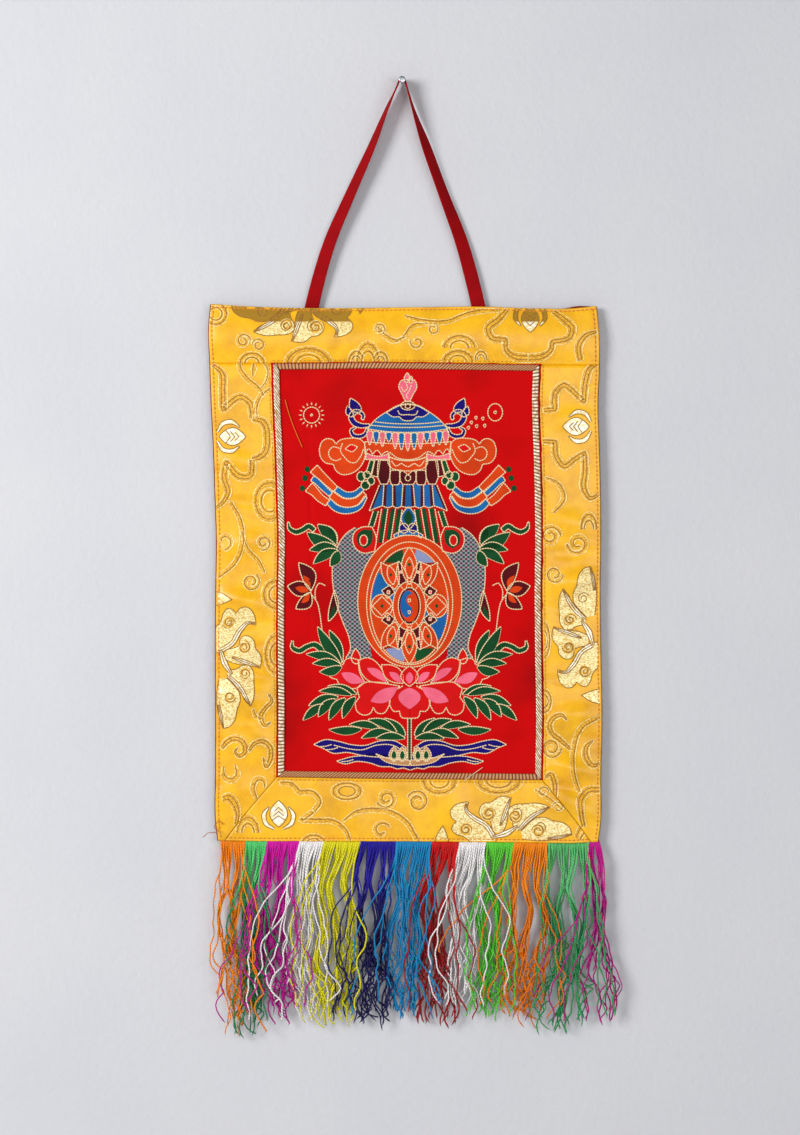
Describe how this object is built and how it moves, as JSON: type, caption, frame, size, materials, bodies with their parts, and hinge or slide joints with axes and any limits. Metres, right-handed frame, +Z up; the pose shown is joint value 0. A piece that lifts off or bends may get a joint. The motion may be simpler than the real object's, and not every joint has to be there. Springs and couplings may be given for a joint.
{
  "type": "brocade wall hanging on a nail",
  "caption": "Lined brocade wall hanging: woven red panel, braid trim, satin borders, thread fringe and a ribbon loop over a plain wall nail.",
  "frame": {"origin": "on the nail's axis, in the plane of the wall that the nail is driven into", "axes": "+Z up the wall, -Y out of the wall towards the viewer, along the nail to its head, +X to the viewer's right"},
  "size_m": [0.2456, 0.03, 0.5783],
  "materials": {
    "yellow_brocade": "satin brocade with metallic figures",
    "red_brocade": "woven brocade with a many-coloured figure",
    "metallic_braid": "metallic twill braid",
    "red_lining": "matt plain weave",
    "red_ribbon": "matt ribbed tape",
    "bright_steel": "bright wire nail",
    "thread_orange_left": "glossy twisted thread",
    "thread_green_left": "glossy twisted thread",
    "thread_magenta_left": "glossy twisted thread",
    "thread_white_left": "glossy twisted thread",
    "thread_yellow": "glossy twisted thread",
    "thread_navy": "glossy twisted thread",
    "thread_blue": "glossy twisted thread",
    "thread_red": "glossy twisted thread",
    "thread_white_right": "glossy twisted thread",
    "thread_lime": "glossy twisted thread",
    "thread_orange_right": "glossy twisted thread",
    "thread_green_right": "glossy twisted thread",
    "thread_magenta_right": "glossy twisted thread"
  },
  "bodies": {
    "root": {"lining": "red_lining", "border_top": "yellow_brocade", "border_left": "yellow_brocade", "border_right": "yellow_brocade", "border_bottom": "yellow_brocade", "panel": "red_brocade", "braid_top": "metallic_braid", "braid_bottom": "metallic_braid", "braid_left": "metallic_braid", "braid_right": "metallic_braid", "hanging_ribbon": "red_ribbon", "nail": "bright_steel", "fringe_01_orange_left": "thread_orange_left", "fringe_02_green_left": "thread_green_left", "fringe_03_magenta_left": "thread_magenta_left", "fringe_04_white_left": "thread_white_left", "fringe_05_yellow": "thread_yellow", "fringe_06_navy": "thread_navy", "fringe_07_blue": "thread_blue", "fringe_08_red": "thread_red", "fringe_09_white_right": "thread_white_right", "fringe_10_lime": "thread_lime", "fringe_11_orange_right": "thread_orange_right", "fringe_12_green_right": "thread_green_right", "fringe_13_magenta_right": "thread_magenta_right"}
  },
  "joints": []
}
